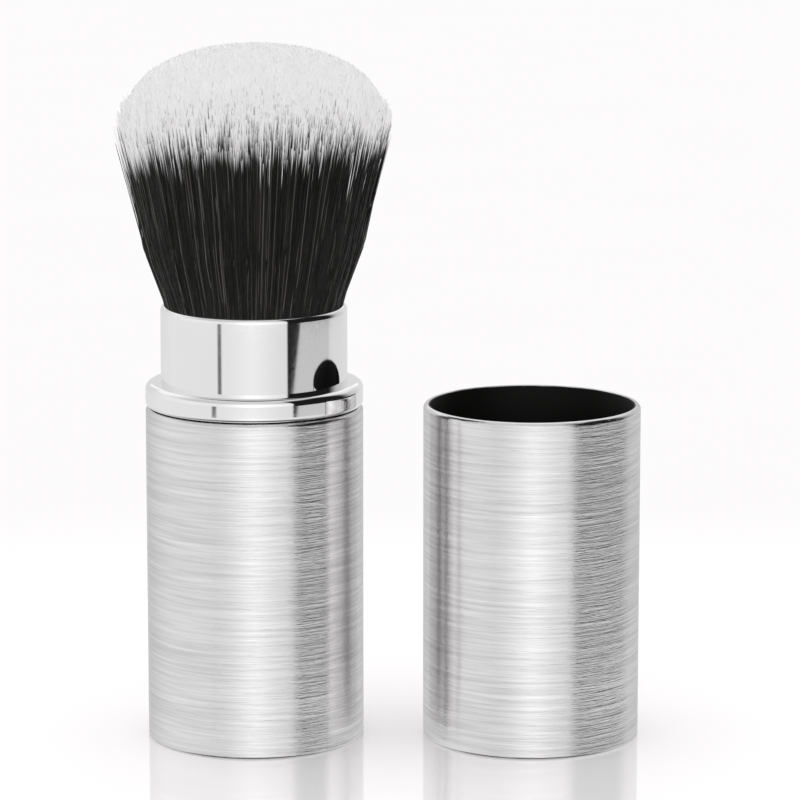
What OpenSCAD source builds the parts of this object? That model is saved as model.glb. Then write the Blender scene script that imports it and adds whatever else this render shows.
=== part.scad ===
// Travel kabuki brush in three moving groups, in millimetres with +Z up.
// The handle holds the brush head on a post. The guard, a tube with a flange, slides up round the hair.
// The loose cap stands beside the handle, mouth up. The origin is the middle of the handle's base.

/* [Shells] */
// Outer diameter of the handle, the flange and the cap
shell_d = 32; // [30:0.5:40]
// Side wall of the two drawn shells
shell_wall = 0.8; // [0.5:0.1:1]
// Floor of the two drawn shells
shell_floor = 1; // [0.6:0.1:1.6]
// Rounding of the shells' closed end
base_round = 0.4; // [0.2:0.1:2]
// Rounding of the shells' open end, no more than the wall holds
rim_round = 0.65; // [0.3:0.05:0.85]
// Chamfer on the inner edge of the shells' open end
rim_edge = 0.1; // [0.05:0.05:0.15]
// Height of the handle's shell
handle_h = 49.6; // [48:0.2:60]
// Height of the cap's shell
cap_h = 49.8; // [44:0.2:60]
// Space between the handle and the cap that stands beside it
cap_space = 8.85; // [6:0.05:30]

/* [Guard] */
// Radial step from the shell's side in to the guard tube
tube_step = 2.3; // [2.1:0.05:2.7]
// Wall of the guard tube
tube_wall = 0.5; // [0.3:0.05:0.55]
// Height of the tube above the flange
guard_h = 11.4; // [8:0.2:20]
// Outer radius of the tube's lip, which rolls inwards
lip_round = 0.75; // [0.6:0.05:1]
// Height of the flange
flange_h = 3.5; // [2.4:0.1:6]
// Rounding of the flange's upper edge
flange_top_round = 1; // [0.3:0.05:1.2]
// Rounding of the flange's lower edge
flange_low_round = 0.65; // [0.3:0.05:1]
// Travel of the guard from its seat to the stop under the guide ring
travel = 25; // [15:0.5:27]

/* [Slide] */
// Radial clearance of the pieces that slide
slide_gap = 0.05; // [0.02:0.01:0.1]
// Radial clearance of the bush's finger pads, which press lightly on the bore
pad_gap = 0.02; // [0.01:0.01:0.05]
// Radial thickness of the bush round the tube
bush_wall = 0.65; // [0.4:0.05:0.7]
// Length of the bush's grip on the tube
bush_grip = 6; // [4:0.5:8]
// Length of the bush's spring fingers below the tube
finger_l = 5; // [4:0.5:6]
// Number of spring fingers
finger_n = 8; // [4:1:12]
// Width of the slots between the fingers
slot_w = 1.6; // [0.8:0.1:2.4]
// Depth of the relief behind the finger pads
finger_relief = 0.2; // [0.1:0.05:0.3]
// Height of a finger pad
pad_h = 1.2; // [0.8:0.1:2]
// Length of the guide ring
guide_h = 5; // [3:0.5:7]
// Thickness of the guide ring's flange
guide_flange = 0.8; // [0.6:0.1:1.2]
// Height of the guide ring above the handle's shell, seen as a dark line under the flange
guide_proud = 0.12; // [0.05:0.01:0.3]

/* [Handle inside] */
// Floor of the handle's liner
liner_floor = 2.6; // [2.4:0.1:3]
// Radial step from the inside of the guard tube in to the post's foot
foot_step = 2.2; // [1:0.1:5]
// Thickness of the post's foot
foot_h = 2.5; // [1.5:0.1:4]
// Radius of the post's core
core_r = 4; // [3:0.1:6]
// Number of ribs on the post
rib_n = 6; // [3:1:8]
// Thickness of a rib
rib_t = 1.5; // [1:0.1:2.5]
// Depth of the ribs' waist, in from the edge of the plate
waist_step = 3.9; // [1:0.1:6]
// Height over which a rib spreads at its foot
rib_low_h = 7; // [3:0.5:10]
// Height over which a rib spreads under the plate
rib_top_h = 6; // [3:0.5:8]
// Thickness of the plate under the hair cup
plate_h = 2; // [1.2:0.1:3]
// Radial step from the plate's edge in from the cup's wall
plate_step = 0.3; // [0.1:0.05:1]
// Radius of the post screw
screw_r = 1.5; // [1:0.1:2]
// Length of the screw below its head
screw_l = 10; // [6:0.5:16]
// Radius of the screw's head
screw_head_r = 2.9; // [2.4:0.1:3.6]
// Height of the screw's head
screw_head_h = 1.5; // [1:0.1:1.8]
// Clearance round the screw in the liner's floor
screw_gap = 0.15; // [0.05:0.05:0.4]

/* [Brush head] */
// Height of the hair cup
cup_h = 16; // [12:0.5:18]
// Depth of the hair cup's mouth below the guard's lip
cup_drop = 4.6; // [2:0.2:10]
// Wall of the hair cup
cup_wall = 0.4; // [0.3:0.05:0.6]
// Floor of the hair cup
cup_floor = 0.5; // [0.4:0.1:1]
// Radial clearance between the hair cup and the guard tube
cup_gap = 0.5; // [0.3:0.05:0.8]
// Radius of the spigot that centres the cup on the post
spigot_r = 3; // [2:0.1:4]
// Depth of the glued root below the bristles' slice
glue_h = 7.5; // [4:0.5:9]
// Thickness of the slice of glue that the strands are fused to
slice_h = 2; // [1:0.1:3]
// Clearance of the hair to the lip of the guard
lip_gap = 0.25; // [0.2:0.05:1]
// Diameter of the hair at its widest
hair_d = 39.4; // [34:0.2:40]
// Height of the widest level above the lip
flare_h = 25.7; // [20:0.2:32]
// Height of the dome above the widest level
dome_h = 11.8; // [6:0.2:16]
// How soon the flare opens above the lip
flare_power = 1.5; // [1.2:0.05:2]
// How square the dome's shoulder is, an ellipse at 2
dome_power = 2.25; // [2:0.05:3]
// Rings of the lattice that the strands stand on, three points to a strand
lattice_n = 19; // [19:1:20]
// Share of the lattice inside which the strands need one ring fewer
core_share = 0.6; // [0.4:0.05:0.8]
// Thickness of a strand at the lip, over the lattice's own
fill_lip = 1.45; // [1:0.05:1.6]
// Thickness of a strand in the flare, over the lattice's own
fill_flare = 1.65; // [1:0.05:1.65]
// Height by which the tips of neighbouring strands differ
tip_play = 1; // [0:0.1:2]

/* [Cap inside] */
// Depth of the cap liner's edge below the rim
liner_recess = 0.15; // [0.15:0.05:1.5]
// Floor of the cap's liner
cap_liner_floor = 1.2; // [0.8:0.1:2]
// Radial clearance of the cap's liner on the guard tube
cap_gap = 0.1; // [0.05:0.01:0.2]
// Height of the lead-in at the mouth of the cap's liner
lead_in_h = 4; // [2:0.5:8]
// Wall of the cap's liner at its edge
mouth_wall = 0.2; // [0.1:0.05:0.5]

/* [Hidden] */
$fn = 96;
shell_r = shell_d / 2;
shell_in_r = shell_r - shell_wall;
inner_round = 0.4;
liner_chamfer = inner_round + 0.2;
rim_flat = 0.05;
shell_rim = min(rim_round, shell_wall - rim_edge - rim_flat);
cap_x = shell_d + cap_space;

tube_r = shell_r - tube_step;
tube_in_r = tube_r - tube_wall;
bush_r = tube_r + bush_wall;
bore_r = bush_r + slide_gap;
pad_r = bore_r - pad_gap;

seat_z = handle_h + guide_proud;
flange_top_z = seat_z + flange_h;
lip_z = flange_top_z + guard_h;
guide_z = seat_z - guide_h;
bush_top_z = guide_z - travel;
tube_z = bush_top_z - bush_grip;
finger_z = tube_z - finger_l;
bush_ledge = 0.8;
slot_root = 0.6;
finger_t = 0.8;

liner_top_z = seat_z - guide_flange;
foot_z = shell_floor + liner_floor;
foot_r = tube_in_r - foot_step;
screw_end_z = shell_floor + screw_head_h + screw_l;
rib_start = (screw_r + core_r) / 2;
cup_r = tube_in_r - cup_gap;
cup_in_r = cup_r - cup_wall;
cup_top_z = lip_z - cup_drop;
cup_z = cup_top_z - cup_h;
plate_r = cup_r - plate_step;
waist_r = plate_r - waist_step;
root_z = cup_z + cup_floor + glue_h;
strand_z = root_z + slice_h;

cap_bore_r = tube_r + cap_gap;
cap_liner_top_z = cap_h - liner_recess;
lead_in = shell_in_r - mouth_wall - cap_bore_r;

lip_hair_r = tube_r - lip_round - lip_gap;
hair_r = hair_d / 2;
wide_z = lip_z + flare_h;
strand_rings = [0, 0.4, 0.78];
core_rings = [0, 0.68];
golden = 137.508;
past = 1;
rib_inset = 0.5;

metal = [0.80, 0.79, 0.78];
bright = [0.89, 0.88, 0.89];
black = [0.10, 0.10, 0.09];
dark = [0.16, 0.15, 0.14];
white = [0.90, 0.89, 0.86];
steel = [0.55, 0.56, 0.58];
amber = [0.62, 0.50, 0.30];

// Points of an arc round a centre, from one angle to another
function arc(centre, r, from, to, steps = 8) =
    [for (i = [0 : steps]) let (a = from + (to - from) * i / steps) centre + r * [cos(a), sin(a)]];

// A drawn cup of the shells' common section, its closed end down
module drawn_cup(h) {
    rotate_extrude() polygon(concat(
        [[0, 0]],
        arc([shell_r - base_round, base_round], base_round, -90, 0),
        arc([shell_r - shell_rim, h - shell_rim], shell_rim, 0, 90),
        [[shell_in_r + rim_edge, h], [shell_in_r, h - rim_edge]],
        arc([shell_in_r - inner_round, shell_floor + inner_round], inner_round, 0, -90, 3),
        [[0, shell_floor]]
    ));
}

// A moulded sleeve with a floor that lines a shell up to a height
module liner_cup(top_z, bore, floor_t) {
    rotate_extrude() polygon([
        [0, shell_floor],
        [shell_in_r - liner_chamfer, shell_floor],
        [shell_in_r, shell_floor + liner_chamfer],
        [shell_in_r, top_z],
        [bore, top_z],
        [bore, shell_floor + floor_t],
        [0, shell_floor + floor_t]
    ]);
}

module body_shell() {
    color(metal) drawn_cup(handle_h);
}

module body_liner() {
    color(black) difference() {
        liner_cup(liner_top_z, bore_r, liner_floor);
        translate([0, 0, -past]) cylinder(r = screw_r + screw_gap, h = foot_z + 2 * past);
        cylinder(r = screw_head_r + screw_gap, h = shell_floor + screw_head_h);
    }
}

// The top stop of the slide. Its flange covers the liner and carries the guard at rest.
module guide_ring() {
    color(black) rotate_extrude() polygon([
        [tube_r + slide_gap, guide_z],
        [bore_r, guide_z],
        [bore_r, liner_top_z],
        [shell_in_r, liner_top_z],
        [shell_in_r, seat_z],
        [tube_r + slide_gap, seat_z]
    ]);
}

// A rib runs from the middle of the foot to the middle of the plate, and narrows to the waist
module post_rib() {
    rotate([90, 0, 0]) linear_extrude(rib_t, center = true) polygon([
        [rib_start, foot_z + foot_h / 2],
        [foot_r - rib_inset, foot_z + foot_h / 2],
        [waist_r, foot_z + foot_h + rib_low_h],
        [waist_r, cup_z - plate_h - rib_top_h],
        [plate_r - rib_inset, cup_z - plate_h / 2],
        [rib_start, cup_z - plate_h / 2]
    ]);
}

// Foot, core, plate and spigot are one turned form round the screw's hole
module centre_post() {
    color(dark) {
        rotate_extrude() polygon([
            [screw_r, foot_z],
            [foot_r, foot_z],
            [foot_r, foot_z + foot_h],
            [core_r, foot_z + foot_h],
            [core_r, cup_z - plate_h],
            [plate_r, cup_z - plate_h],
            [plate_r, cup_z],
            [spigot_r, cup_z],
            [spigot_r, cup_z + cup_floor],
            [0, cup_z + cup_floor],
            [0, screw_end_z],
            [screw_r, screw_end_z]
        ]);
        for (i = [0 : rib_n - 1]) rotate(i * 360 / rib_n) post_rib();
    }
}

module post_screw() {
    color(steel) translate([0, 0, shell_floor]) {
        cylinder(r = screw_head_r, h = screw_head_h);
        cylinder(r = screw_r, h = screw_head_h + screw_l);
    }
}

module hair_cup() {
    color(metal) translate([0, 0, cup_z]) difference() {
        cylinder(r = cup_r, h = cup_h);
        translate([0, 0, cup_floor]) cylinder(r = cup_in_r, h = cup_h);
        translate([0, 0, -past]) cylinder(r = spigot_r, h = cup_floor + 2 * past);
    }
}

module root_glue() {
    color(amber) translate([0, 0, cup_z + cup_floor]) cylinder(r = cup_in_r, h = glue_h);
}

// The guard: a tube that starts inside the handle and ends in a lip rolled inwards
module guard_tube() {
    lip_centre = [tube_r - lip_round, lip_z - lip_round];
    color(bright) rotate_extrude() polygon(concat(
        [[tube_in_r, tube_z], [tube_r, tube_z]],
        arc(lip_centre, lip_round, 0, 90),
        arc(lip_centre, lip_round - tube_wall, 90, 0)
    ));
}

module flange_ring() {
    color(bright) rotate_extrude() polygon(concat(
        [[tube_r, seat_z]],
        arc([shell_r - flange_low_round, seat_z + flange_low_round], flange_low_round, -90, 0),
        arc([shell_r - flange_top_round, flange_top_z - flange_top_round], flange_top_round, 0, 90),
        [[tube_r, flange_top_z]]
    ));
}

// The bush grips the tube's end. Its fingers drag in the liner's bore and hold the guard where it is put.
module slide_bush() {
    color(white) difference() {
        rotate_extrude() polygon([
            [pad_r - finger_t, finger_z],
            [pad_r, finger_z],
            [pad_r, finger_z + pad_h],
            [pad_r - finger_relief, finger_z + pad_h + finger_relief],
            [pad_r - finger_relief, tube_z - bush_ledge],
            [bush_r, tube_z - bush_ledge + finger_relief],
            [bush_r, bush_top_z],
            [tube_r, bush_top_z],
            [tube_r, tube_z],
            [tube_in_r, tube_z],
            [tube_in_r, tube_z - bush_ledge],
            [pad_r - finger_t, tube_z - bush_ledge]
        ]);
        for (i = [0 : finger_n - 1]) rotate(i * 360 / finger_n)
            translate([0, -slot_w / 2, finger_z - past])
                cube([shell_r, slot_w, finger_l + past - bush_ledge - slot_root]);
    }
}

// Radius of the hair's outside at a height
function flare(z) =
    z < lip_z ? cup_in_r + (lip_hair_r - cup_in_r) * (z - strand_z) / (lip_z - strand_z) :
    z < wide_z ? lip_hair_r + (hair_r - lip_hair_r) * (1 - pow(1 - (z - lip_z) / flare_h, flare_power)) :
    hair_r;

// The root lattice: six-sided rings of points, drawn out to circles, in rows of one second index each
function row_start(v) = v <= 0
    ? (v + lattice_n) * (lattice_n + 1) + (v + lattice_n) * (v + lattice_n - 1) / 2
    : row_start(0) + v * (2 * lattice_n + 1) - v * (v - 1) / 2;
function first_u(v) = max(-lattice_n, -lattice_n - v);
function last_u(v) = min(lattice_n, lattice_n - v);
function at(u, v) = row_start(v) + u - first_u(v);
function ring_of(u, v) = max(abs(u), abs(v), abs(u + v));
function spot(u, v) = let (p = [u + v / 2, v * sqrt(3) / 2], n = ring_of(u, v))
    n == 0 ? [0, 0] : p / norm(p) * n * cup_in_r / lattice_n;

lattice = [for (v = [-lattice_n : lattice_n], u = [first_u(v) : last_u(v)]) [u, v]];
lattice_count = len(lattice);

// Every third upright triangle of the lattice carries a strand, so that no two share a point
function inside(u, v) = ring_of(u, v) < lattice_n;
function carries(u, v) =
    (u - v + 3 * lattice_n) % 3 == 0 && inside(u, v) && inside(u + 1, v) && inside(u, v + 1);
roots = [for (p = lattice) if (carries(p[0], p[1])) p];
function centre_of(p) = (spot(p[0], p[1]) + spot(p[0] + 1, p[1]) + spot(p[0], p[1] + 1)) / 3;
reach = max([for (p = roots) norm(centre_of(p))]);
edge_roots = [for (p = roots) if (norm(centre_of(p)) > core_share * reach) p];
core_roots = [for (p = roots) if (norm(centre_of(p)) <= core_share * reach) p];

// One strand: rings of three points that follow the flare, then its tip on the dome
function strand_fill(z) = z <= lip_z ? fill_lip : fill_flare;
function strand_ring(p, c, share, z) =
    let (
        half = strand_fill(z) * flare(z) / lattice_n / sqrt(3),
        grow = strand_fill(z) * flare(z) / cup_in_r,
        middle = norm(c) == 0 ? [0, 0] : c / norm(c) * share * (flare(z) - half)
    )
    [for (q = [p, p + [1, 0], p + [0, 1]])
        let (o = middle + grow * (spot(q[0], q[1]) - c))
        [o[0], o[1], z]];
function tip_height(share, turn) =
    wide_z + dome_h * pow(max(0, 1 - pow(share, dome_power)), 1 / dome_power)
    + tip_play / 2 * (sin(turn * golden) - 1);
function strand_points(p, levels, turn) =
    let (
        c = centre_of(p),
        share = norm(c) / reach,
        top = tip_height(share, turn),
        away = norm(c) == 0 ? [0, 0] : c / norm(c) * share * hair_r
    )
    concat(
        [for (f = levels) each strand_ring(p, c, share, lip_z + f * (top - lip_z))],
        [[away[0], away[1], top]]
    );
function strand_faces(p, levels, first) =
    let (
        base = [at(p[0], p[1]), at(p[0] + 1, p[1]), at(p[0], p[1] + 1)],
        n = len(levels),
        tip = first + 3 * n
    )
    [for (k = [0 : n - 1], i = [0 : 2])
        let (
            j = (i + 1) % 3,
            a = k == 0 ? base[i] : first + 3 * (k - 1) + i,
            b = k == 0 ? base[j] : first + 3 * (k - 1) + j,
            c = first + 3 * k + i,
            d = first + 3 * k + j
        )
        each concat([[a, c, d], [a, d, b]], k < n - 1 ? [] : [[c, tip, d]])];

// The slice's rim, once round, and the whole head as one closed solid
function rim_spot(i) =
    let (
        s = floor(i / lattice_n),
        j = i % lattice_n,
        corners = [[1, 0], [0, 1], [-1, 1], [-1, 0], [0, -1], [1, -1]]
    )
    corners[s] * (lattice_n - j) + corners[(s + 1) % 6] * j;
rim_count = 6 * lattice_n;
edge_size = 3 * len(strand_rings) + 1;
core_size = 3 * len(core_rings) + 1;
edge_start = lattice_count + rim_count + 1;
core_start = edge_start + edge_size * len(edge_roots);

head_points = concat(
    [for (p = lattice) let (s = spot(p[0], p[1])) [s[0], s[1], strand_z]],
    [for (i = [0 : rim_count - 1]) let (p = rim_spot(i), s = spot(p[0], p[1])) [s[0], s[1], root_z]],
    [[0, 0, root_z]],
    [for (i = [0 : len(edge_roots) - 1]) each strand_points(edge_roots[i], strand_rings, i)],
    [for (i = [0 : len(core_roots) - 1]) each strand_points(core_roots[i], core_rings, i)]
);

slice_faces = concat(
    [for (v = [-lattice_n : lattice_n - 1], u = [first_u(v) : last_u(v)])
        if (ring_of(u + 1, v) <= lattice_n && ring_of(u, v + 1) <= lattice_n && !carries(u, v))
            [at(u, v), at(u, v + 1), at(u + 1, v)]],
    [for (v = [-lattice_n : lattice_n - 1], u = [first_u(v) - 1 : last_u(v)])
        if (ring_of(u + 1, v) <= lattice_n && ring_of(u, v + 1) <= lattice_n
            && ring_of(u + 1, v + 1) <= lattice_n)
            [at(u + 1, v), at(u, v + 1), at(u + 1, v + 1)]],
    [for (i = [0 : rim_count - 1])
        let (
            j = (i + 1) % rim_count,
            a = rim_spot(i),
            b = rim_spot(j),
            low = lattice_count + i,
            next = lattice_count + j
        )
        each [
            [low, at(a[0], a[1]), at(b[0], b[1])],
            [low, at(b[0], b[1]), next],
            [lattice_count + rim_count, low, next]
        ]]
);

module bristles() {
    color(black) polyhedron(
        points = head_points,
        faces = concat(
            slice_faces,
            [for (i = [0 : len(edge_roots) - 1])
                each strand_faces(edge_roots[i], strand_rings, edge_start + i * edge_size)],
            [for (i = [0 : len(core_roots) - 1])
                each strand_faces(core_roots[i], core_rings, core_start + i * core_size)]
        ),
        convexity = 12
    );
}

module cap_shell() {
    color(metal) translate([cap_x, 0, 0]) drawn_cup(cap_h);
}

module cap_liner() {
    color(black) translate([cap_x, 0, 0]) difference() {
        liner_cup(cap_liner_top_z, cap_bore_r, cap_liner_floor);
        translate([0, 0, cap_liner_top_z - lead_in_h])
            cylinder(r1 = cap_bore_r, r2 = cap_bore_r + 2 * lead_in, h = 2 * lead_in_h);
    }
}

body_shell();
body_liner();
guide_ring();
centre_post();
post_screw();
hair_cup();
root_glue();
bristles();
guard_tube();
flange_ring();
slide_bush();
cap_shell();
cap_liner();
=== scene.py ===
"""Looks of a travel kabuki brush and its loose cap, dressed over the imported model."""

import math

import bpy
import numpy as np
from mathutils.kdtree import KDTree
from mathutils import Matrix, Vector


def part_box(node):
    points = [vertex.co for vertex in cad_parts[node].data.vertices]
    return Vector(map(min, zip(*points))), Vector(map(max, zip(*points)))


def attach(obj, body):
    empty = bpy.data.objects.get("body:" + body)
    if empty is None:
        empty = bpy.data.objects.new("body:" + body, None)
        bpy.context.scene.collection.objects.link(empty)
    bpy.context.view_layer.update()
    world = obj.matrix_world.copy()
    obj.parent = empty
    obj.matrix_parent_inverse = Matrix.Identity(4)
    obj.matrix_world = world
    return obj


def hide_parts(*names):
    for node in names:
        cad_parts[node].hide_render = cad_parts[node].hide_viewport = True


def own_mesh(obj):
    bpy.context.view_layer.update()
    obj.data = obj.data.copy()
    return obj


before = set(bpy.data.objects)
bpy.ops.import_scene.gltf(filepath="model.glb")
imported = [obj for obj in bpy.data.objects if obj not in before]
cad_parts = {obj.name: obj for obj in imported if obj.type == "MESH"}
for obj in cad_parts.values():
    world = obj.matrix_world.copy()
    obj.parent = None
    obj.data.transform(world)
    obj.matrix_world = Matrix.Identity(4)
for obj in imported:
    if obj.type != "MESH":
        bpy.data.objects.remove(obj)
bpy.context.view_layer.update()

MM = 0.001
bpy.ops.object.select_all(action="DESELECT")

# Sizes of the turned pieces, with places taken from the frame. Steps and angles shape their outlines
SIDES = 192
ARC_STEPS = 10
HOLD = 0.12 * MM
SHELL_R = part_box("body_shell")[1].x
SHELL_WALL = 0.8 * MM
SHELL_FLOOR = 1.0 * MM
BASE_ROUND = 0.4 * MM
RIM_ROUND = 0.65 * MM
RIM_EDGE = 0.1 * MM
HANDLE_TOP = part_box("body_shell")[1].z
CAP_LOW, CAP_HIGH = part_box("cap_shell")
CAP_X = (CAP_LOW.x + CAP_HIGH.x) / 2
CAP_TOP = CAP_HIGH.z
LINER_LOW, LINER_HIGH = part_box("cap_liner")
LINER_R = (LINER_HIGH.x - LINER_LOW.x) / 2
LINER_BORE = 13.8 * MM
LINER_FLOOR = 1.2 * MM
LEAD_IN_H = 4.0 * MM
MOUTH_WALL = 0.2 * MM
TUBE_LOW, TUBE_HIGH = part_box("guard_tube")
TUBE_R = TUBE_HIGH.x
TUBE_WALL = 0.5 * MM
LIP_ROUND = 0.75 * MM
LIP_Z = TUBE_HIGH.z
FLANGE_LOW, FLANGE_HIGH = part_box("flange_ring")
FLANGE_TOP_ROUND = 1.0 * MM
FLANGE_LOW_ROUND = 0.65 * MM
GUIDE_LOW, GUIDE_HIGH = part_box("guide_ring")
GUIDE_BORE = TUBE_R + 0.05 * MM
GUIDE_FLANGE = 0.8 * MM
GUIDE_R = 14.4 * MM
# A little play where the bush meets the ring at the top of its slide
GUIDE_PLAY = 0.02 * MM
INNER_CORNER = 0.4 * MM
LINER_CHAMFER = 0.6 * MM
LINER_FOOT = 0.3 * MM
SMOOTH_ANGLE = 30


# The camera, as it was fitted to the outlines of the photograph's two cylinders
CAMERA_LENS = 189.28
CAMERA_SENSOR = 36
CAMERA_SHIFT = (0.0040, -0.0183)
CAMERA_PLACE = (0.02205, -0.60865, 0.16314)
CAMERA_DIP = 10.304
CAMERA_TURN = 0.0018
CAMERA_REACH = 20


def place_camera():
    """The camera stands where the photograph's did, a long lens a little above the brush."""
    data = bpy.data.cameras.new("camera")
    data.lens = CAMERA_LENS
    data.sensor_width = CAMERA_SENSOR
    data.shift_x, data.shift_y = CAMERA_SHIFT
    data.clip_end = CAMERA_REACH
    camera = bpy.data.objects.new("camera", data)
    camera.location = CAMERA_PLACE
    camera.rotation_euler = (math.radians(90 - CAMERA_DIP), 0, CAMERA_TURN)
    bpy.context.collection.objects.link(camera)
    bpy.context.scene.camera = camera
    bpy.context.scene.view_settings.view_transform = "Standard"


def add(tree, kind, inputs=None, **settings):
    """A node of a kind with its settings, and its inputs set to values or linked to sockets."""
    node = tree.nodes.new(kind)
    for name, value in settings.items():
        setattr(node, name, value)
    for socket, value in (inputs or {}).items():
        if isinstance(value, bpy.types.NodeSocket):
            tree.links.new(value, node.inputs[socket])
        else:
            node.inputs[socket].default_value = value
    return node


def math_node(tree, operation, a, b=0.0, c=0.0):
    """The result of one sum of numbers or sockets."""
    return add(tree, "ShaderNodeMath", {0: a, 1: b, 2: c}, operation=operation).outputs[0]


def one_minus(tree, value):
    """The rest of a share to one."""
    return math_node(tree, "SUBTRACT", 1.0, value)


def map_range(tree, value, low, high, to_low=0.0, to_high=1.0, smooth=False):
    """A value carried from one range to another, and held at its ends."""
    return add(
        tree,
        "ShaderNodeMapRange",
        {"Value": value, "From Min": low, "From Max": high, "To Min": to_low, "To Max": to_high},
        interpolation_type="SMOOTHSTEP" if smooth else "LINEAR",
    ).outputs["Result"]


def mixed(tree, mask, a, b):
    """A number between two by a mask."""
    return add(tree, "ShaderNodeMix", {"Factor": mask, 2: a, 3: b}, data_type="FLOAT").outputs[0]


def tinted(tree, mask, dark, light):
    """A colour between two by a mask, each a colour or a socket."""
    sides = {name: side if isinstance(side, bpy.types.NodeSocket) else (*side, 1)
             for name, side in (("A", dark), ("B", light))}
    return add(tree, "ShaderNodeMix", {"Factor": mask, **sides}, data_type="RGBA").outputs["Result"]


def above(tree, value, edge, soft):
    """A mask that is 0 below an edge and 1 above it, over a soft span."""
    return map_range(tree, value, edge - soft / 2, edge + soft / 2, smooth=True)


def below(tree, value, edge, soft):
    """A mask that is 1 below an edge and 0 above it, over a soft span."""
    return one_minus(tree, above(tree, value, edge, soft))


def by_azimuth(tree, turn, stops):
    """Brightness round the object from (degrees, brightness) stops, 0 towards the camera, 90 to its right."""
    ramp = add(tree, "ShaderNodeValToRGB", {"Fac": turn})
    elements = ramp.color_ramp.elements
    while len(elements) < len(stops):
        elements.new(1.0)
    for element, (degrees, grey) in zip(elements, stops):
        element.position = (degrees + 180) / 360
        element.color = (grey, grey, grey, 1)
    return ramp.outputs["Color"]


# The studio's four walls, one above the other, as (degrees of turn, brightness) stops
LOW_STUDIO = [
    (-180, 0.80), (-130, 0.78), (-100, 0.84), (-45, 0.84), (-30, 0.84), (-14, 0.99), (0, 1.12), (14, 1.02),
    (30, 0.86), (46, 0.82), (60, 0.80), (100, 0.78), (125, 0.80), (180, 0.78),
]
TUBE_STUDIO = [
    (-180, 0.70), (-150, 0.78), (-120, 0.84), (-44, 0.83), (-30, 0.84), (0, 0.93), (30, 0.80), (44, 0.76),
    (46, 0.60), (106, 0.59), (110, 0.74), (150, 0.76), (180, 0.74),
]
FRONT_STUDIO = [
    (-180, 0.74), (-150, 0.74), (-110, 0.87), (-60, 0.90), (-36, 0.86), (-18, 1.04), (0, 1.30), (18, 1.08),
    (42, 0.88), (118, 0.68), (130, 0.60), (150, 0.76), (180, 0.74),
]
HIGH_STUDIO = [
    (-180, 0.74), (-165, 1.02), (-135, 1.02), (-110, 0.80), (-80, 0.62), (-50, 0.60), (-20, 0.70), (0, 0.76),
    (25, 0.66), (50, 0.42), (75, 0.22), (100, 0.22), (130, 0.80), (160, 0.95), (180, 0.74),
]
STUDIO_LEVEL = 1.035
# Edges between the walls and of the forms on them, each with its soft span, in degrees
TUBE_EDGE = (-10.85, 0.1)
FRONT_EDGE = (-9.33, 0.2)
HIGH_EDGE = (27.0, 12.0)
TOP_EDGE = (52.0, 20.0)
TOP_LEVEL = 0.70
# The low wall darkens towards the ground
GROUND = (-58, -32)
GROUND_SHARE = 0.12
# The black flag on the right
FLAG_START = (43.3, 3.0)
FLAG_END = (118.0, 24.0)
FLAG_TOP = (58.0, 14.0)
FLAG_LEVEL = 0.012
# The dark slit on the left, from its dark middle to its soft sides
SLIT_TURN = -41.1
SLIT_HALF = (0.8, 4.0)
SLIT_LEVEL = 0.17
# The dark wedge beside the card's slanting edge: turn at a height of none, slope and soft span
WEDGE_TURN = 59.3 + 11.0 * 9.62
WEDGE_SLOPE = 11.0
WEDGE_EDGE = (0.0, 3.0)
WEDGE_LEVEL = 0.02
# The white end behind the object, by its distance in turn from the front and by its height
BEHIND_TURN = (163.0, 14.0)
BEHIND_RISE = (12.6, 1.6)
BEHIND_LEVEL = 1.02
# The dome that lights all but the metal, from the horizon to the top
DOME_LEVELS = (1.05, 1.24)


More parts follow.
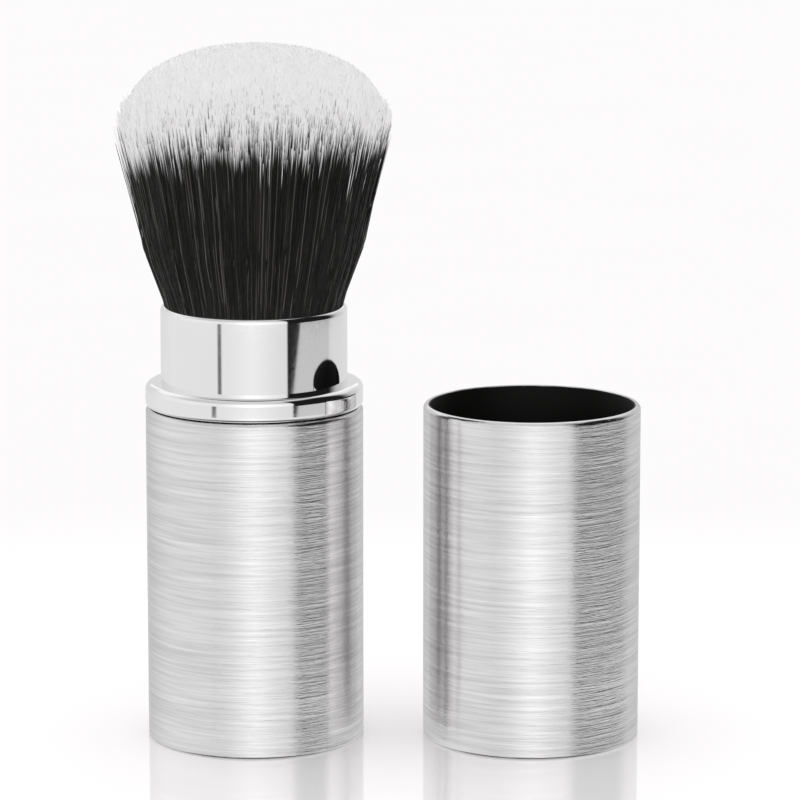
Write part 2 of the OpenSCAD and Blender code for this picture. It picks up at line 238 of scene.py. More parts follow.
def light_studio():
    """A white studio: a bright front, a grey card low on the right and a black flag above it.
    Metal sees its walls, and all else is lit by an even white dome."""
    world = bpy.data.worlds.new("studio")
    world.cycles.sampling_method = "NONE"
    bpy.context.scene.world = world
    world.use_nodes = True
    tree = world.node_tree
    tree.nodes.clear()
    ray = add(tree, "ShaderNodeTexCoord").outputs["Generated"]
    xyz = add(tree, "ShaderNodeSeparateXYZ", {0: ray})
    toward = math_node(tree, "MULTIPLY", xyz.outputs["Y"], -1.0)
    radians = math_node(tree, "ARCTAN2", xyz.outputs["X"], toward)
    degrees = math_node(tree, "MULTIPLY", radians, math.degrees(1))
    turn = map_range(tree, degrees, -180, 180)
    rise = math_node(tree, "ARCSINE", xyz.outputs["Z"])
    rise = math_node(tree, "MULTIPLY", rise, math.degrees(1))

    # The dark forms on the walls
    off_slit = math_node(tree, "ABSOLUTE", math_node(tree, "SUBTRACT", degrees, SLIT_TURN))
    slit = one_minus(tree, map_range(tree, off_slit, *SLIT_HALF, smooth=True))
    slant = math_node(tree, "MULTIPLY_ADD", rise, WEDGE_SLOPE, WEDGE_TURN)
    wedge = below(tree, math_node(tree, "SUBTRACT", degrees, slant), *WEDGE_EDGE)
    flag_start = above(tree, degrees, *FLAG_START)
    wedge = math_node(tree, "MULTIPLY", wedge, flag_start)
    flag = math_node(tree, "MULTIPLY", flag_start, below(tree, degrees, *FLAG_END))
    high_flag = math_node(tree, "MULTIPLY", flag, below(tree, rise, *FLAG_TOP))

    # The four walls, from the ground up
    low = by_azimuth(tree, turn, LOW_STUDIO)
    low = math_node(tree, "MULTIPLY", low, map_range(tree, rise, *GROUND, GROUND_SHARE, 1.0))
    tube = mixed(tree, slit, by_azimuth(tree, turn, TUBE_STUDIO), SLIT_LEVEL)
    tube = mixed(tree, wedge, tube, WEDGE_LEVEL)
    front = mixed(tree, flag, by_azimuth(tree, turn, FRONT_STUDIO), FLAG_LEVEL)
    high = mixed(tree, above(tree, rise, *TOP_EDGE), by_azimuth(tree, turn, HIGH_STUDIO), TOP_LEVEL)
    high = mixed(tree, high_flag, high, FLAG_LEVEL)
    walls = mixed(tree, above(tree, rise, *TUBE_EDGE), low, tube)
    walls = mixed(tree, above(tree, rise, *FRONT_EDGE), walls, front)
    walls = mixed(tree, above(tree, rise, *HIGH_EDGE), walls, high)
    # The white end behind the object, which the board and the upper edges show
    behind = above(tree, math_node(tree, "ABSOLUTE", degrees), *BEHIND_TURN)
    behind = math_node(tree, "MULTIPLY", behind, above(tree, rise, *BEHIND_RISE))
    walls = math_node(tree, "MULTIPLY", mixed(tree, behind, walls, BEHIND_LEVEL), STUDIO_LEVEL)
    dome = map_range(tree, xyz.outputs["Z"], 0.0, 1.0, *DOME_LEVELS)
    path = add(tree, "ShaderNodeLightPath")
    light = mixed(tree, path.outputs["Is Glossy Ray"], dome, walls)
    light = mixed(tree, path.outputs["Is Camera Ray"], light, 1.0)
    background = add(tree, "ShaderNodeBackground", {"Color": (1, 1, 1, 1), "Strength": light})
    add(tree, "ShaderNodeOutputWorld", {"Surface": background.outputs[0]})


def new_material(name):
    """A material with its tree and its Principled shader."""
    material = bpy.data.materials.new(name)
    material.use_nodes = True
    tree = material.node_tree
    return material, tree, tree.nodes["Principled BSDF"]


def new_group(name, inputs, outputs):
    """An empty node group with named number inputs and outputs, and its two end nodes."""
    group = bpy.data.node_groups.new(name, "ShaderNodeTree")
    for label, value in inputs.items():
        socket = group.interface.new_socket(label, in_out="INPUT", socket_type="NodeSocketFloat")
        socket.default_value = value
    for label in outputs:
        group.interface.new_socket(label, in_out="OUTPUT", socket_type="NodeSocketFloat")
    return group, group.nodes.new("NodeGroupInput"), group.nodes.new("NodeGroupOutput")


def stretched_noise(tree, across, along, detail):
    """Noise on object coordinates, finer up the axis than round it."""
    place = add(tree, "ShaderNodeTexCoord").outputs["Object"]
    size = add(tree, "ShaderNodeCombineXYZ", {"X": across, "Y": across, "Z": along})
    place = add(tree, "ShaderNodeVectorMath", {0: place, 1: size.outputs[0]}, operation="MULTIPLY")
    noise = add(
        tree,
        "ShaderNodeTexNoise",
        {"Vector": place.outputs[0], "Scale": 1.0, "Detail": detail, "Roughness": 0.6},
    )
    return noise.outputs["Fac"]


# The part of a noise's range that most of its values fill
NOISE_SPAN = (0.3, 0.7)


def turning_marks_group():
    """Marks of turning and brushing round the axis: fine lines, bands, and a slow drift up the piece."""
    sizes = {
        "Line Length": 0.0036, "Line Height": 0.00016, "Band Length": 0.016, "Band Height": 0.0005,
        "Drift Length": 0.04, "Drift Height": 0.007,
    }
    group, ends, out = new_group("turning marks", sizes, ["Lines", "Bands", "Drift"])
    for output, kind, detail in (("Lines", "Line", 2.0), ("Bands", "Band", 1.5), ("Drift", "Drift", 1.0)):
        across = math_node(group, "DIVIDE", 1.0, ends.outputs[f"{kind} Length"])
        up = math_node(group, "DIVIDE", 1.0, ends.outputs[f"{kind} Height"])
        noise = stretched_noise(group, across, up, detail)
        group.links.new(map_range(group, noise, *NOISE_SPAN), out.inputs[output])
    return group


def fine_grain_group():
    """Even grain of a moulded or plated surface, with broad unevenness."""
    sizes = {"Grain Size": 0.0002, "Patch Size": 0.004}
    group, ends, out = new_group("fine grain", sizes, ["Grain", "Patches"])
    grain = math_node(group, "DIVIDE", 1.0, ends.outputs["Grain Size"])
    patch = math_node(group, "DIVIDE", 1.0, ends.outputs["Patch Size"])
    group.links.new(stretched_noise(group, grain, grain, 2.0), out.inputs["Grain"])
    group.links.new(stretched_noise(group, patch, patch, 1.0), out.inputs["Patches"])
    return group


TURNING_MARKS = turning_marks_group()
FINE_GRAIN = fine_grain_group()


def grouped(tree, group, **values):
    """A group node with its inputs, written with underscores for spaces."""
    node = add(tree, "ShaderNodeGroup", node_tree=group)
    for name, value in values.items():
        node.inputs[name.replace("_", " ")].default_value = value
    return node


BUMP_DEPTH = 0.02 * MM


def bump(tree, height, strength, distance):
    """A normal from a height in metres."""
    return add(
        tree, "ShaderNodeBump", {"Height": height, "Strength": strength, "Distance": distance}
    ).outputs["Normal"]


def brushed_shell():
    """Aluminium brushed round the axis, so that its shine spreads up and down."""
    material, tree, shader = new_material("brushed_shell")
    marks = grouped(tree, TURNING_MARKS)
    both = math_node(tree, "ADD", marks.outputs["Bands"], marks.outputs["Lines"])
    tree.links.new(tinted(tree, marks.outputs["Bands"], (0.67, 0.66, 0.665), (0.85, 0.84, 0.845)),
                   shader.inputs["Base Color"])
    tree.links.new(map_range(tree, marks.outputs["Drift"], 0, 1, 0.15, 0.23), shader.inputs["Roughness"])
    tree.links.new(bump(tree, both, 1.0, BUMP_DEPTH), shader.inputs["Normal"])
    tree.links.new(add(tree, "ShaderNodeTangent", direction_type="RADIAL", axis="Z").outputs[0],
                   shader.inputs["Tangent"])
    shader.inputs["Metallic"].default_value = 1.0
    shader.inputs["Anisotropic"].default_value = 0.8
    shader.inputs["Anisotropic Rotation"].default_value = 0.25
    shader.inputs["Specular Tint"].default_value = (0.8, 0.8, 0.8, 1)
    return material


def bright_guard():
    """Polished bright metal with a trace of unevenness."""
    material, tree, shader = new_material("bright_guard")
    grain = grouped(tree, FINE_GRAIN, Grain_Size=0.0006, Patch_Size=0.006)
    tree.links.new(tinted(tree, grain.outputs["Patches"], (0.865, 0.86, 0.865), (0.885, 0.88, 0.885)),
                   shader.inputs["Base Color"])
    tree.links.new(map_range(tree, grain.outputs["Grain"], *NOISE_SPAN, 0.025, 0.05), shader.inputs["Roughness"])
    shader.inputs["Metallic"].default_value = 1.0
    return material


def moulded(name, dark, light, roughness, grain_size=0.00025, level=0.5):
    """Moulded plastic with a fine grain."""
    material, tree, shader = new_material(name)
    grain = grouped(tree, FINE_GRAIN, Grain_Size=grain_size)
    tree.links.new(tinted(tree, grain.outputs["Patches"], dark, light), shader.inputs["Base Color"])
    tree.links.new(map_range(tree, grain.outputs["Grain"], *NOISE_SPAN, roughness - 0.06, roughness + 0.06),
                   shader.inputs["Roughness"])
    tree.links.new(bump(tree, grain.outputs["Grain"], 0.3, BUMP_DEPTH), shader.inputs["Normal"])
    shader.inputs["Specular IOR Level"].default_value = level
    return material


def plain_metal(name, dark, light, roughness):
    """Unpolished metal of the hidden pieces."""
    material, tree, shader = new_material(name)
    marks = grouped(tree, TURNING_MARKS, Line_Length=0.003)
    tree.links.new(tinted(tree, marks.outputs["Bands"], dark, light), shader.inputs["Base Color"])
    tree.links.new(map_range(tree, marks.outputs["Lines"], 0, 1, roughness - 0.08, roughness + 0.08),
                   shader.inputs["Roughness"])
    shader.inputs["Metallic"].default_value = 1.0
    return material


# Colours of the hair: most fibres are black below, and the palest tones are greyer
BLACK_HAIR = (0.0055, 0.0052, 0.0044)
PALE_HAIR = (0.15, 0.145, 0.135)
PALE_TONE = 0.82
LOWER_WHITES = ((0.88, 0.87, 0.875), (0.95, 0.94, 0.945))
# The upper whites are painted light: paler whites for the top of the head, where light from above falls
PAINTED_LIT_WHITES = ((0.96, 0.95, 0.955), (0.99, 0.98, 0.985))


def hair_material():
    """Fine fibres, black with white tips. The map's V is 0.5 where a fibre turns white, and U is its tone."""
    material, tree, shader = new_material("hair")
    strand = add(tree, "ShaderNodeUVMap", uv_map="Strand").outputs[0]
    uv = add(tree, "ShaderNodeSeparateXYZ", {0: strand})
    fade = WHITE_FADE / WHITE_SPAN
    tip = map_range(tree, uv.outputs["Y"], 0.5 - fade, 0.5 + fade, smooth=True)
    black = tinted(tree, map_range(tree, uv.outputs["X"], PALE_TONE, 1.0), BLACK_HAIR, PALE_HAIR)
    place = add(tree, "ShaderNodeTexCoord").outputs["Object"]
    height = add(tree, "ShaderNodeSeparateXYZ", {0: place}).outputs["Z"]
    lower = tinted(tree, uv.outputs["X"], *LOWER_WHITES)
    upper = tinted(tree, uv.outputs["X"], *PAINTED_LIT_WHITES)
    # Painted top light: the white turns paler towards the top of the head, where light from above falls
    white = tinted(tree, map_range(tree, height, *PAINTED_TOP_LIGHT), lower, upper)
    tree.links.new(tinted(tree, tip, black, white), shader.inputs["Base Color"])
    tree.links.new(map_range(tree, uv.outputs["X"], 0, 1, 0.35, 0.55), shader.inputs["Roughness"])
    # The black fibres share part of the head's outward direction, so that its edges catch the light
    share = map_range(tree, tip, 0, 1, 0.25, 0.0)
    outward = add(tree, "ShaderNodeVectorMath", {0: place, 1: (0, 0, HEAD_MIDDLE_Z)}, operation="SUBTRACT")
    outward = add(tree, "ShaderNodeVectorMath", {0: outward.outputs[0]}, operation="NORMALIZE")
    own = add(tree, "ShaderNodeNewGeometry").outputs["Normal"]
    shared = add(tree, "ShaderNodeMix", {"Factor": share}, data_type="VECTOR")
    tree.links.new(own, shared.inputs[4])
    tree.links.new(outward.outputs[0], shared.inputs[5])
    tree.links.new(shared.outputs[1], shader.inputs["Normal"])
    shader.inputs["Specular IOR Level"].default_value = 0.28
    tree.links.new(map_range(tree, tip, 0, 1, 0.16, 0.0), shader.inputs["Sheen Weight"])
    shader.inputs["Sheen Roughness"].default_value = 0.3
    return material


# The board's lift for the camera alone, and its mirror share by its place from front to back
BOARD_LIFT = 0.157
MIRROR_FRONT = (-40 * MM, -14 * MM)
MIRROR_SHARES = (0.32, 0.62)
MIRROR_BACK = (-12 * MM, 20 * MM)


def floor_material():
    """White board that keeps the object's shadow, with a mirror gloss that fades to the front and the back."""
    material, tree, shader = new_material("white_board")
    grain = grouped(tree, FINE_GRAIN, Patch_Size=0.05)
    tree.links.new(tinted(tree, grain.outputs["Patches"], (0.795, 0.785, 0.79), (0.805, 0.795, 0.80)),
                   shader.inputs["Base Color"])
    shader.inputs["Roughness"].default_value = 0.5
    shader.inputs["Specular IOR Level"].default_value = 0.0
    seen = add(tree, "ShaderNodeLightPath").outputs["Is Camera Ray"]
    lift = math_node(tree, "MULTIPLY", seen, BOARD_LIFT)
    tree.links.new(lift, shader.inputs["Emission Strength"])
    shader.inputs["Emission Color"].default_value = (1, 0.98, 0.99, 1)
    gloss = add(tree, "ShaderNodeBsdfGlossy", {"Color": (0.96, 0.94, 0.95, 1), "Roughness": 0.02})
    place = add(tree, "ShaderNodeSeparateXYZ", {0: add(tree, "ShaderNodeTexCoord").outputs["Object"]})
    share = map_range(tree, place.outputs["Y"], *MIRROR_FRONT, *MIRROR_SHARES)
    share = math_node(tree, "MULTIPLY", share, map_range(tree, place.outputs["Y"], *MIRROR_BACK, 1.0, 0.0))
    board = add(tree, "ShaderNodeMixShader", {0: share, 1: shader.outputs[0], 2: gloss.outputs[0]})
    tree.links.new(board.outputs[0], tree.nodes["Material Output"].inputs["Surface"])
    return material


def arc(centre, radius, start, end, steps=ARC_STEPS):
    """Rings of (radius, height) along an arc of the outline, by angles in degrees."""
    angles = [math.radians(start + (end - start) * i / steps) for i in range(steps + 1)]
    return [(centre[0] + radius * math.cos(a), centre[1] + radius * math.sin(a)) for a in angles]


def side(radius, low, high, steps=6):
    """Rings up a straight side, the first and last close to its ends, so that the shading stays straight."""
    hold = HOLD if high > low else -HOLD
    low, high = low + hold, high - hold
    return [(radius, low + (high - low) * i / steps) for i in range(steps + 1)]


def turned(name, x, rings, floor=False, closed=False, loop=False):
    """A piece turned about the upright axis at x. Its first ring is a circle, extruded from ring to ring.
    With floor the circle starts as a disc. The last ring closes to a point with closed, on the first with loop."""
    radius, height = rings[0]
    bpy.ops.mesh.primitive_circle_add(
        vertices=SIDES, radius=radius, fill_type="TRIFAN" if floor else "NOTHING", location=(x, 0, height)
    )
    piece = bpy.context.object
    piece.name = piece.data.name = name
    bpy.ops.object.mode_set(mode="EDIT")
    bpy.ops.mesh.select_mode(type="EDGE")
    bpy.ops.mesh.select_all(action="DESELECT")
    bpy.ops.mesh.select_non_manifold()
    for next_radius, next_height in rings[1:]:
        bpy.ops.mesh.extrude_edges_move(TRANSFORM_OT_translate={"value": (0, 0, next_height - height)})
        share = next_radius / radius
        bpy.ops.transform.resize(value=(share, share, 1), center_override=(x, 0, next_height))
        radius, height = next_radius, next_height
    if closed:
        bpy.ops.mesh.extrude_edges_move()
        bpy.ops.mesh.merge(type="COLLAPSE")
    bpy.ops.mesh.select_all(action="SELECT")
    if loop:
        bpy.ops.mesh.remove_doubles(threshold=0.002 * MM)
    bpy.ops.mesh.normals_make_consistent(inside=False)
    bpy.ops.object.mode_set(mode="OBJECT")
    bpy.ops.object.transform_apply(location=True, rotation=True, scale=True)
    bpy.ops.object.shade_smooth_by_angle(angle=math.radians(SMOOTH_ANGLE))
    return piece


def dress(piece, body, slot, material, *nodes):
    """Gives a piece its material and the body that it rides on, and hides the nodes that it stands for."""
    piece.data.materials.clear()
    piece.data.materials.append(material)
    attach(piece, body)
    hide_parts(*nodes)


def drawn_cup(name, x, top):
    """A drawn shell: round closed end, straight side, rounded open edge and its inside."""
    inner = SHELL_R - SHELL_WALL
    rings = [(SHELL_R - BASE_ROUND - HOLD, 0)] + arc((SHELL_R - BASE_ROUND, BASE_ROUND), BASE_ROUND, -90, 0)
    rings += side(SHELL_R, BASE_ROUND, top - RIM_ROUND)
    rings += arc((SHELL_R - RIM_ROUND, top - RIM_ROUND), RIM_ROUND, 0, 90)
    rings += [(inner + RIM_EDGE, top), (inner, top - RIM_EDGE)]
    rings += side(inner, top - RIM_EDGE, SHELL_FLOOR + INNER_CORNER, 2)
    rings += arc((inner - INNER_CORNER, SHELL_FLOOR + INNER_CORNER), INNER_CORNER, 0, -90, 4)
    return turned(name, x, rings, floor=True, closed=True)


def cap_lining():
    """The cap's black sleeve, which widens to a thin edge at its mouth."""
    lead_z = LINER_HIGH.z - LEAD_IN_H
    floor_z = LINER_LOW.z + LINER_FLOOR
    rings = [
        (LINER_R - LINER_CHAMFER, LINER_LOW.z), (LINER_R, LINER_LOW.z + LINER_CHAMFER), (LINER_R, LINER_HIGH.z),
        (LINER_R - MOUTH_WALL, LINER_HIGH.z), (LINER_BORE, lead_z), (LINER_BORE, (LINER_LOW.z + lead_z) / 2),
        (LINER_BORE, floor_z + LINER_FOOT), (LINER_BORE - LINER_FOOT, floor_z),
    ]
    return turned("cap_lining", CAP_X, rings, floor=True, closed=True)


def guard_tube():
    """The bright tube, its lip rolled inwards round the foot of the hair."""
    centre = (TUBE_R - LIP_ROUND, LIP_Z - LIP_ROUND)
    rings = [(TUBE_R, TUBE_LOW.z)] + side(TUBE_R, TUBE_LOW.z, centre[1])
    rings += arc(centre, LIP_ROUND, 0, 90)
    rings += arc(centre, LIP_ROUND - TUBE_WALL, 90, 0, 6)
    rings += side(TUBE_R - TUBE_WALL, centre[1], TUBE_LOW.z, 2)
    rings += [(TUBE_R - TUBE_WALL, TUBE_LOW.z), (TUBE_R, TUBE_LOW.z)]
    return turned("guard_sleeve", 0, rings, loop=True)


def flange():
    """The bright ring that the guard is pushed up by."""
    low = (SHELL_R - FLANGE_LOW_ROUND, FLANGE_LOW.z + FLANGE_LOW_ROUND)
    high = (SHELL_R - FLANGE_TOP_ROUND, FLANGE_HIGH.z - FLANGE_TOP_ROUND)
    rings = [(low[0] - HOLD, FLANGE_LOW.z)] + arc(low, FLANGE_LOW_ROUND, -90, 0)
    rings += side(SHELL_R, low[1], high[1], 1) + arc(high, FLANGE_TOP_ROUND, 0, 90)
    rings += [(high[0] - HOLD, FLANGE_HIGH.z), (TUBE_R, FLANGE_HIGH.z), (TUBE_R, FLANGE_LOW.z), rings[0]]
    return turned("push_flange", 0, rings, loop=True)


def guide():
    """The black ring in the handle's mouth, seen as a dark line under the flange."""
    outer = SHELL_R - SHELL_WALL
    low = GUIDE_LOW.z + GUIDE_PLAY
    rings = [
        (GUIDE_BORE, low), (GUIDE_R, low), (GUIDE_R, GUIDE_HIGH.z - GUIDE_FLANGE),
        (outer, GUIDE_HIGH.z - GUIDE_FLANGE), (outer, GUIDE_HIGH.z), (GUIDE_BORE, GUIDE_HIGH.z),
        (GUIDE_BORE, low),
    ]
    return turned("guide_collar", 0, rings, loop=True)


# The brush head
HAIR_SECTORS = 12
HAIR_SEED = 20
# Bands of strands from the outside in: inner and outer share of the radius, count, heights of the middle rings
HAIR_BANDS = [
    (0.86, 1.00, 26000, (0.012, 0.30)),
    (0.50, 0.86, 50000, (0.25,)),
    (0.00, 0.50, 30000, ()),
]
# Radii from the root to the widest place, where the flare ends and the dome begins
ROOT_Z = LIP_Z - 8.0 * MM
ROOT_R = 12.1 * MM
MOUTH_R = 12.75 * MM
WIDE_R = 19.3 * MM
FLARE_H = 25.7 * MM
FLARE_POWER = 1.30
WIDE_Z = LIP_Z + FLARE_H
DOME_H = 12.4 * MM
DOME_POWER = 2.3
# The hair swells just over the lip
BULGE = 0.42 * MM
BULGE_Z = LIP_Z + 1.6 * MM
BULGE_SPAN = 2.4 * MM
# Strands: thickness, its change from root to tip and by tone, and the taper of the tip
STRAND_T = 0.115 * MM
STRAND_FADE = (0.95, 0.9)
STRAND_SIZES = (1.15, 0.5)
TONE_POWER = 1.5
TIP_TAPER = 0.08 * MM
TAPER_PLAY = (0.8, 1.2)
# How strands fan out towards their tips, how far they sway, and the play of their middle rings over the foot
FAN_POWER = 1.5
SWAY = 0.006
RING_PLAY = 0.05
STEADY = 0.1
# Loose strands near the edge stand off the head's side
LOOSE_SHARE = 0.14
LOOSE_FROM = 0.94
LOOSE_OUT = 0.055
LOOSE_Z = LIP_Z + 3 * MM
# Tips gather in tufts, and drop a little below the dome, more so near its edge
TUFTS = 2600
TUFT_PULL = 0.30
TIP_SCATTER = 0.012
STRAY_SHARE = 0.06
STRAY_SCATTER = 3.0
OVER_EDGE = 0.006
TIP_RISE = 0.1 * MM
TIP_DROP = 0.6 * MM
EDGE_FROM = 0.8
EDGE_DROP = 1.7
# Heights in millimetres at which strands turn white: the head's curve, then tufts, streaks and single strands.
# Shifts up and down are given as (share of the cells or strands, least shift, most shift)
WHITE_Z = 91.0
WHITE_CURVE = 3.1
WHITE_SLANT = 1.1
TUFT_SHIFT = 0.9
STREAKS = 960
STREAK_CUTS = 5
STREAK_SHIFT = 0.9
STREAKS_UP = (0.24, 0.5, 6.5)
STREAKS_DOWN = (0.12, 0.5, 3.5)
STREAK_SIDE_LOSS = 0.4
STRAND_SHIFT = 1.2
STRANDS_DOWN = (0.07, 1.5, 6.5)
STRANDS_UP = (0.05, 0.5, 4.0)
WHITE_TIP = (0.2, 1.0)
# The strands' map holds the height over the change to white as a share of a span. Span and fade in millimetres
WHITE_SPAN = 40.0
WHITE_FADE = 1.5
# The white is painted paler between these heights, a painted top light where light from above falls
PAINTED_TOP_LIGHT = (90.0 * MM, 99.5 * MM)
# The middle from which the hair faces outwards
HEAD_MIDDLE_Z = 75.0 * MM
# The head leans a little to the right, over this height
LEAN = 0.4 * MM
LEAN_H = 37 * MM


def outside(z):
    """Radius of the hair's outside at heights z."""
    rise = np.clip((z - LIP_Z) / FLARE_H, 0, 1)
    flare = MOUTH_R + (WIDE_R - MOUTH_R) * (1 - (1 - rise) ** FLARE_POWER)
    bulge = BULGE * np.exp(-((z - BULGE_Z) / BULGE_SPAN) ** 2) * (z > LIP_Z)
    root = ROOT_R + (MOUTH_R - ROOT_R) * (z - ROOT_Z) / (LIP_Z - ROOT_Z)
    return np.where(z < LIP_Z, root, flare + bulge)


def tuft_centres(random):
    """Scattered middles of the tufts on the head's unit disc, each with its own shift of the white height."""
    share, turn = np.sqrt(random.random(TUFTS)), random.random(TUFTS) * 2 * math.pi
    spots = KDTree(TUFTS)
    for i in range(TUFTS):
        spots.insert((share[i] * math.cos(turn[i]), share[i] * math.sin(turn[i]), 0), i)
    spots.balance()
    return spots, random.normal(0, 1, TUFTS)


def some(random, size, share, least, most):
    """A shift between two limits for a share of the cells or strands, and none for the rest."""
    return (random.random(size) < share) * random.uniform(least, most, size)


def streak_shifts(random):
    """Shifts of the white height in narrow cells round the head, each cut across from the axis outwards."""
    cells = (STREAKS, STREAK_CUTS)
    shifts = random.normal(0, STREAK_SHIFT, cells)
    shifts += some(random, cells, *STREAKS_UP)
    shifts -= some(random, cells, *STREAKS_DOWN)
    return shifts, random.random(STREAKS)


def white_heights(random, side, tuft, cell, share, streaks):
    """Heights at which strands turn white, by their side of the head, tuft, streak and chance."""
    count = len(side)
    shifts, cuts = streaks
    cut = np.clip(share * (STREAK_CUTS - 1) + cuts[cell], 0, STREAK_CUTS - 0.1).astype(int)
    level = WHITE_Z - WHITE_CURVE * side**2 + WHITE_SLANT * side + TUFT_SHIFT * tuft
    level += shifts[cell, cut] * (1 - STREAK_SIDE_LOSS * side**2)
    level += random.normal(0, STRAND_SHIFT, count)
    level -= some(random, count, *STRANDS_DOWN)
    level += some(random, count, *STRANDS_UP)
    return level * MM


def hair_band(random, spots, tuft_white, streaks, low, high, count, middle):
    """Centre lines, white heights, tone and turn of one band of strands."""
    share = np.sqrt(low**2 + (high**2 - low**2) * random.random(count))
    turn = random.random(count) * 2 * math.pi
    across, up = share * np.cos(turn), share * np.sin(turn)
    found = [spots.find((x, y, 0)) for x, y in zip(across, up)]
    near = np.array([(spot[0], spot[1], index) for spot, index, _ in found])
    stray = np.where(random.random(count) < STRAY_SHARE, STRAY_SCATTER, 1.0)
    tip_x = across + TUFT_PULL * (near[:, 0] - across) + random.normal(0, TIP_SCATTER, count) * stray
    tip_y = up + TUFT_PULL * (near[:, 1] - up) + random.normal(0, TIP_SCATTER, count) * stray
    reach = np.hypot(tip_x, tip_y)
    over = np.maximum(reach / (1 + np.abs(random.normal(0, OVER_EDGE, count))), 1)
    tip_x, tip_y, tip_share = tip_x / over, tip_y / over, np.minimum(reach, 1)
    is_loose = (random.random(count) < LOOSE_SHARE) * (tip_share > LOOSE_FROM)
    loose = 1 + is_loose * random.uniform(0, LOOSE_OUT, count)
    tip_z = WIDE_Z + DOME_H * (1 - tip_share**DOME_POWER) ** (1 / DOME_POWER)
    drop = np.abs(random.normal(0, TIP_DROP, count)) * np.where(tip_share > EDGE_FROM, EDGE_DROP, 1)
    tip_z += random.normal(0, TIP_RISE, count) - drop
    play = random.uniform(-RING_PLAY, RING_PLAY, (len(middle), count))
    heights = [np.full(count, ROOT_Z)]
    heights += [LIP_Z + (part + shift * (part > STEADY)) * (tip_z - LIP_Z) for part, shift in zip(middle, play)]
    heights += [tip_z - TIP_TAPER * random.uniform(*TAPER_PLAY, count), tip_z]
    heights = np.stack(heights, axis=1)
    blend = ((heights - ROOT_Z) / (tip_z - ROOT_Z)[:, None]) ** FAN_POWER
    wander = random.normal(0, 1, (2, count, heights.shape[1])) * SWAY * blend
    x = across[:, None] + blend * (tip_x - across)[:, None] + wander[0]
    y = up[:, None] + blend * (tip_y - up)[:, None] + wander[1]
    radius = outside(heights) * np.where(heights > LOOSE_Z, loose[:, None], 1)
    points = np.stack([x * radius, y * radius, heights], axis=2)
    points[:, :, 0] += LEAN * np.clip((heights - LIP_Z) / LEAN_H, 0, 1) ** 2
    side = tip_x / np.maximum(np.hypot(tip_x, tip_y), 0.001)
    cell = (turn / (2 * math.pi) * STREAKS).astype(int) % STREAKS
    white_z = white_heights(random, side, tuft_white[near[:, 2].astype(int)], cell, share, streaks)
    white_z = np.minimum(white_z, tip_z - random.uniform(*WHITE_TIP, count) * MM)
    return points, white_z, random.random(count) ** TONE_POWER, turn


def strand_mesh(name, groups):
    """One mesh of three-sided strands, each closed by its root face and its pointed tip."""
    all_verts, all_corners, all_uv, start = [], [], [], 0
    for points, white_z, tone in groups:
        count, rings = points.shape[0], points.shape[1] - 1
        spin = (tone * 977.0) % 1.0 * 2 * math.pi
        around = spin[:, None, None] + np.array([0, 2, 4])[None, None, :] * math.pi / 3
        fade = np.linspace(*STRAND_FADE, rings)
        size = STRAND_SIZES[0] - STRAND_SIZES[1] * tone
        half = STRAND_T / math.sqrt(3) * fade[None, :, None] * size[:, None, None]
        body = np.repeat(points[:, :rings, None, :], 3, axis=2)
        body[..., 0] += half * np.cos(around)
        body[..., 1] += half * np.sin(around)
        verts = np.concatenate([body.reshape(count, rings * 3, 3), points[:, rings:, :]], axis=1)
        faces = [(0, 2, 1)]
        for ring in range(rings - 1):
            for i in range(3):
                a, b = 3 * ring + i, 3 * ring + (i + 1) % 3
                faces += [(a, b, b + 3), (a, b + 3, a + 3)]
        faces += [(3 * (rings - 1) + i, 3 * (rings - 1) + (i + 1) % 3, 3 * rings) for i in range(3)]
        step = verts.shape[1]
        corners = (np.array(faces)[None, :, :] + step * np.arange(count)[:, None, None]).reshape(-1)
        verts = verts.reshape(-1, 3)
        to_white = 0.5 + (verts[:, 2] - np.repeat(white_z, step)) / MM / WHITE_SPAN
        all_uv.append(np.stack([np.repeat(tone, step)[corners], to_white[corners]], axis=1))
        all_corners.append(corners + start)
        all_verts.append(verts)
        start += len(verts)
    verts, corners = np.concatenate(all_verts), np.concatenate(all_corners)
    mesh = bpy.data.meshes.new(name)
    mesh.vertices.add(len(verts))
    mesh.vertices.foreach_set("co", verts.astype(np.float32).ravel())
    mesh.loops.add(len(corners))
    mesh.loops.foreach_set("vertex_index", corners.astype(np.int32))
    mesh.polygons.add(len(corners) // 3)
    mesh.polygons.foreach_set("loop_start", np.arange(0, len(corners), 3, dtype=np.int32))
    mesh.update(calc_edges=True)
    mesh.uv_layers.new(name="Strand").data.foreach_set("uv", np.concatenate(all_uv).astype(np.float32).ravel())
    mesh.polygons.foreach_set("use_smooth", np.ones(len(mesh.polygons), dtype=bool))
    mesh.validate()
    return mesh


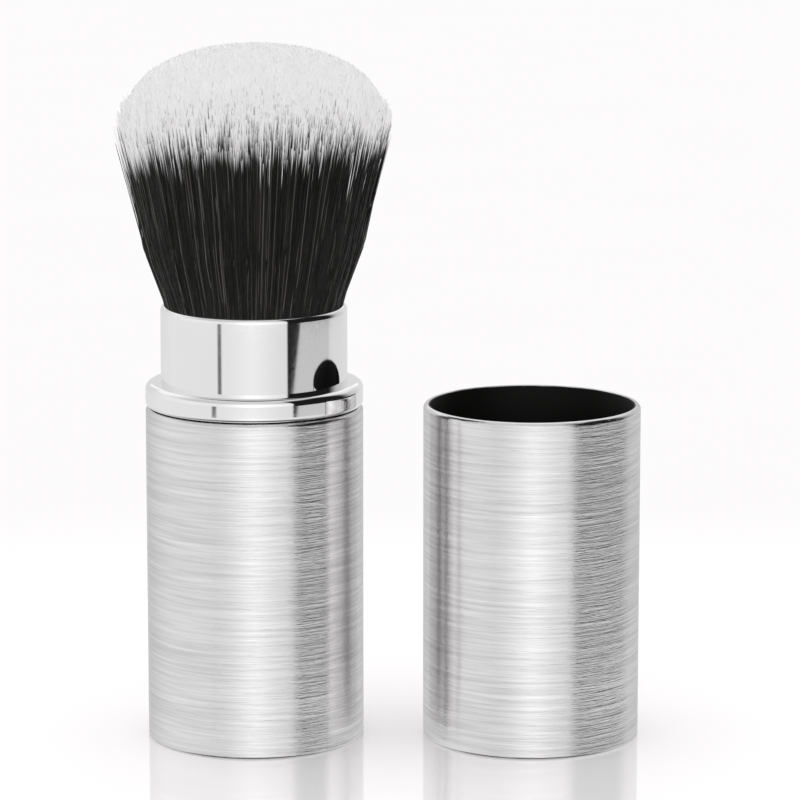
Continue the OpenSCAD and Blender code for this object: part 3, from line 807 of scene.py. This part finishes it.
def make_hair(material):
    """The brush head in sectors, each a piece of its own on the handle."""
    random = np.random.default_rng(HAIR_SEED)
    spots, tuft_white = tuft_centres(random)
    streaks = streak_shifts(random)
    bands = [hair_band(random, spots, tuft_white, streaks, *band) for band in HAIR_BANDS]
    for number in range(HAIR_SECTORS):
        groups = []
        for points, white_z, tone, turn in bands:
            mine = (turn / (2 * math.pi) * HAIR_SECTORS).astype(int) % HAIR_SECTORS == number
            groups.append((points[mine], white_z[mine], tone[mine]))
        name = f"hair_{number + 1:02d}"
        piece = bpy.data.objects.new(name, strand_mesh(name, groups))
        bpy.context.collection.objects.link(piece)
        dress(piece, "handle", "hair", material, "bristles")
        piece.visible_diffuse = False
        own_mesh(piece)


def lay_floor():
    """The white board that the object stands on, unseen in the metal, where the studio shows instead."""
    bpy.ops.mesh.primitive_plane_add(size=12, location=(0, 2, 0))
    board = bpy.context.object
    board.name = "white_board"
    board.data.materials.append(floor_material())
    board.visible_glossy = False


place_camera()
light_studio()
lay_floor()

shell_metal = brushed_shell()
guard_metal = bright_guard()
black_plastic = moulded("black_plastic", (0.0032, 0.0029, 0.0025), (0.0048, 0.0044, 0.0039), 0.55, level=0.12)

dress(drawn_cup("handle_shell", 0, HANDLE_TOP), "handle", "brushed_shell", shell_metal, "body_shell")
dress(drawn_cup("cap_cup", CAP_X, CAP_TOP), "cap", "brushed_shell", shell_metal, "cap_shell")
dress(cap_lining(), "cap", "black_plastic", black_plastic, "cap_liner")
dress(guard_tube(), "guard", "bright_guard", guard_metal, "guard_tube")
dress(flange(), "guard", "bright_guard", guard_metal, "flange_ring")
dress(guide(), "handle", "black_plastic", black_plastic, "guide_ring")

# The CAD pieces inside keep their shapes and get their finishes
INSIDE = {
    "body_liner": black_plastic,
    "centre_post": moulded("post_plastic", (0.020, 0.018, 0.016), (0.030, 0.028, 0.026), 0.5),
    "slide_bush": moulded("bush_plastic", (0.76, 0.74, 0.70), (0.80, 0.78, 0.74), 0.35),
    "post_screw": plain_metal("screw_steel", (0.45, 0.46, 0.48), (0.55, 0.56, 0.58), 0.35),
    "hair_cup": plain_metal("plain_aluminium", (0.68, 0.68, 0.68), (0.75, 0.75, 0.75), 0.4),
    "root_glue": moulded("root_glue", (0.34, 0.22, 0.08), (0.42, 0.28, 0.11), 0.2, grain_size=0.001),
}
for node_name, finish in INSIDE.items():
    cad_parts[node_name].data.materials.clear()
    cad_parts[node_name].data.materials.append(finish)

make_hair(hair_material())
